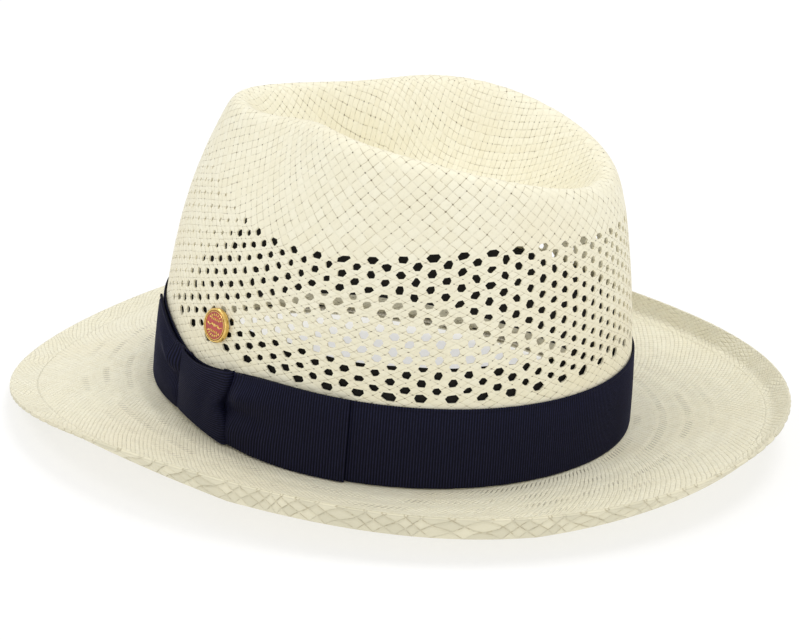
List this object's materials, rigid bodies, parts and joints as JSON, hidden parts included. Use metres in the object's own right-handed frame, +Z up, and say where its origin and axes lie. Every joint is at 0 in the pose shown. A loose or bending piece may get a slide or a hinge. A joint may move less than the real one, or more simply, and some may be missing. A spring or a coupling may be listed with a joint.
{
  "type": "fedora hat",
  "caption": "Woven straw fedora with an openwork crown, curled brim, dark ribbon band with a flat bow, inner sweatband and a small round enamel pin.",
  "frame": {"origin": "middle of the hat's box, on the surface it stands on", "axes": "+Z up, -Y the front of the hat, +X the wearer's left, where the bow and the pin are"},
  "size_m": [0.2848, 0.337, 0.1322],
  "materials": {
    "straw": "natural woven straw, satin",
    "straw_edge": "braided straw edge, satin",
    "grosgrain": "ribbed navy grosgrain ribbon",
    "sweatband_cotton": "black cotton, matte",
    "label": "blank woven label, matte",
    "gilt_metal": "polished gilt",
    "red_enamel": "glossy enamel",
    "post_steel": "bright steel",
    "clutch_brass": "bright stamped brass"
  },
  "bodies": {
    "hat": {"crown": "straw", "brim": "straw", "brim_edge": "straw_edge", "hatband_ribbon": "grosgrain", "bow_loop_front": "grosgrain", "bow_loop_rear": "grosgrain", "bow_knot": "grosgrain", "sweatband": "sweatband_cotton", "sweatband_reed": "sweatband_cotton", "sweatband_tape": "sweatband_cotton", "size_label": "label"},
    "pin": {"pin_rim": "gilt_metal", "pin_enamel": "red_enamel", "pin_post": "post_steel"},
    "clutch": {"pin_clutch_cup": "clutch_brass", "pin_clutch_wing_left": "clutch_brass", "pin_clutch_wing_right": "clutch_brass"}
  },
  "joints": [
    {"name": "pin_spin", "type": "hinge", "parent": "hat", "child": "pin", "pos_m": [0.07112, -0.04544, 0.05326], "axis": [0.8956, -0.3912, 0.2118], "continuous": true},
    {"name": "clutch_pull", "type": "slide", "parent": "pin", "child": "clutch", "axis": [-0.8956, 0.3912, -0.2118], "range_m": [0, 0.0085]}
  ]
}
